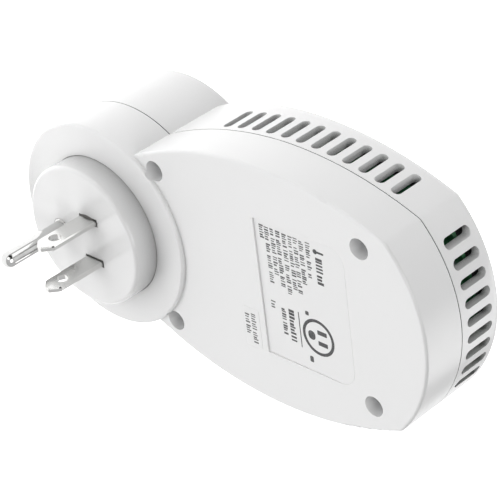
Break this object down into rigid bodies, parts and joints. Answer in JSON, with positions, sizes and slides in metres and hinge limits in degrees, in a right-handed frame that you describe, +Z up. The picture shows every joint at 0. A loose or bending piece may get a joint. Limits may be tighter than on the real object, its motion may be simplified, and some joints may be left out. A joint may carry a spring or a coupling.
{
  "type": "plug-in thermostat outlet",
  "caption": "Grounded wall plug with a pick-shaped vented case, display and buttons above a front outlet, relay and surge parts inside.",
  "frame": {"origin": "axis of the round head, on the plug's contact face", "axes": "+Y along the prongs into the wall, +Z up towards the wide vented end, +X to the right seen from the display side; the outlet and display face -Y"},
  "size_m": [0.0722, 0.0668, 0.1427],
  "materials": {
    "shell_white_gloss": "injection-moulded glossy white ABS",
    "blade_nickel": "nickel-plated brass",
    "block_charcoal": "dark phenolic moulding",
    "spring_brass": "stamped spring brass",
    "screw_steel": "zinc-plated screws",
    "terminal_tin": "tinned metal",
    "label_silver": "silver polyester label, satin",
    "sticker_white": "paper sticker",
    "board_green": "green solder mask on glass-epoxy board",
    "wire_black": "PVC insulation",
    "wire_red": "PVC insulation",
    "wire_white": "PVC insulation",
    "wire_green": "PVC insulation",
    "relay_blue": "moulded relay case",
    "coil_copper": "enamelled copper winding",
    "relay_iron": "soft iron, plated",
    "contact_silver": "silver alloy",
    "varistor_blue": "epoxy coating",
    "capacitor_yellow": "boxed film capacitor",
    "capacitor_sleeve_black": "shrink sleeve",
    "package_black": "moulded epoxy package",
    "fuse_tan": "ceramic and lacquer",
    "cutoff_metal": "metal can",
    "connector_ivory": "nylon header",
    "cable_grey": "flat cable",
    "sensor_black": "epoxy bead on tinned leads",
    "lens_clear": "clear acrylic",
    "lcd_grey": "liquid crystal cell with polarisers",
    "backlight_white": "diffuser panel",
    "zebra_rubber": "elastomer connector",
    "switch_black": "tactile switch body",
    "led_white": "LED package",
    "button_grey": "satin moulded buttons",
    "plunger_ivory": "switch plunger"
  },
  "bodies": {
    "housing": {"backlight_panel": "backlight_white", "blade_contacts": "spring_brass", "blade_retainer": "block_charcoal", "board_connectors": "connector_ivory", "bridge_rectifier": "package_black", "display_board": "board_green", "display_board_screws": "screw_steel", "display_lens": "lens_clear", "front_cover": "shell_white_gloss", "ground_contact": "spring_brass", "ground_pin": "blade_nickel", "ground_wire": "wire_green", "housing_screws": "screw_steel", "indicator_leds": "led_white", "inspection_sticker": "sticker_white", "lcd_frame": "terminal_tin", "lcd_glass": "lcd_grey", "light_pipes": "lens_clear", "line_blade": "blade_nickel", "line_fuse": "fuse_tan", "line_wire": "wire_black", "load_wire": "wire_red", "microcontroller": "package_black", "neutral_blade": "blade_nickel", "neutral_wire": "wire_white", "outlet_block": "block_charcoal", "outlet_block_screws": "screw_steel", "outlet_face": "shell_white_gloss", "plug_base": "shell_white_gloss", "power_board": "board_green", "power_board_screws": "screw_steel", "rating_label": "label_silver", "rear_cover": "shell_white_gloss", "relay_base": "relay_blue", "relay_case": "relay_blue", "relay_coil": "coil_copper", "relay_core": "relay_iron", "relay_fixed_contact": "contact_silver", "relay_yoke": "relay_iron", "resistors": "fuse_tan", "retainer_screws": "screw_steel", "ribbon_cable": "cable_grey", "smoothing_capacitor": "capacitor_sleeve_black", "suppression_capacitor": "capacitor_yellow", "surge_varistors": "varistor_blue", "tact_switches": "switch_black", "temperature_sensor": "sensor_black", "thermal_cutoff": "cutoff_metal", "wire_terminals": "terminal_tin", "zebra_strips": "zebra_rubber"},
    "up_button": {"button_up": "button_grey", "plunger_up": "plunger_ivory"},
    "down_button": {"button_down": "button_grey", "plunger_down": "plunger_ivory"},
    "mode_button": {"button_mode": "button_grey", "plunger_mode": "plunger_ivory"},
    "set_button": {"button_set": "button_grey", "plunger_set": "plunger_ivory"},
    "armature": {"relay_armature": "relay_iron", "relay_moving_contact": "contact_silver"}
  },
  "joints": [
    {"name": "up_press", "type": "slide", "parent": "housing", "child": "up_button", "axis": [0, 1, 0], "range_m": [0, 0.0005], "stiffness_N_per_m": 600},
    {"name": "down_press", "type": "slide", "parent": "housing", "child": "down_button", "axis": [0, 1, 0], "range_m": [0, 0.0005], "stiffness_N_per_m": 600},
    {"name": "mode_press", "type": "slide", "parent": "housing", "child": "mode_button", "axis": [0, 1, 0], "range_m": [0, 0.0005], "stiffness_N_per_m": 600},
    {"name": "set_press", "type": "slide", "parent": "housing", "child": "set_button", "axis": [0, 1, 0], "range_m": [0, 0.0005], "stiffness_N_per_m": 600},
    {"name": "armature_swing", "type": "hinge", "parent": "housing", "child": "armature", "pos_m": [0.0068, -0.0288, 0.0391], "axis": [0, 0, 1], "range_deg": [0, 3.5], "stiffness_Nm_per_rad": 0.002}
  ]
}
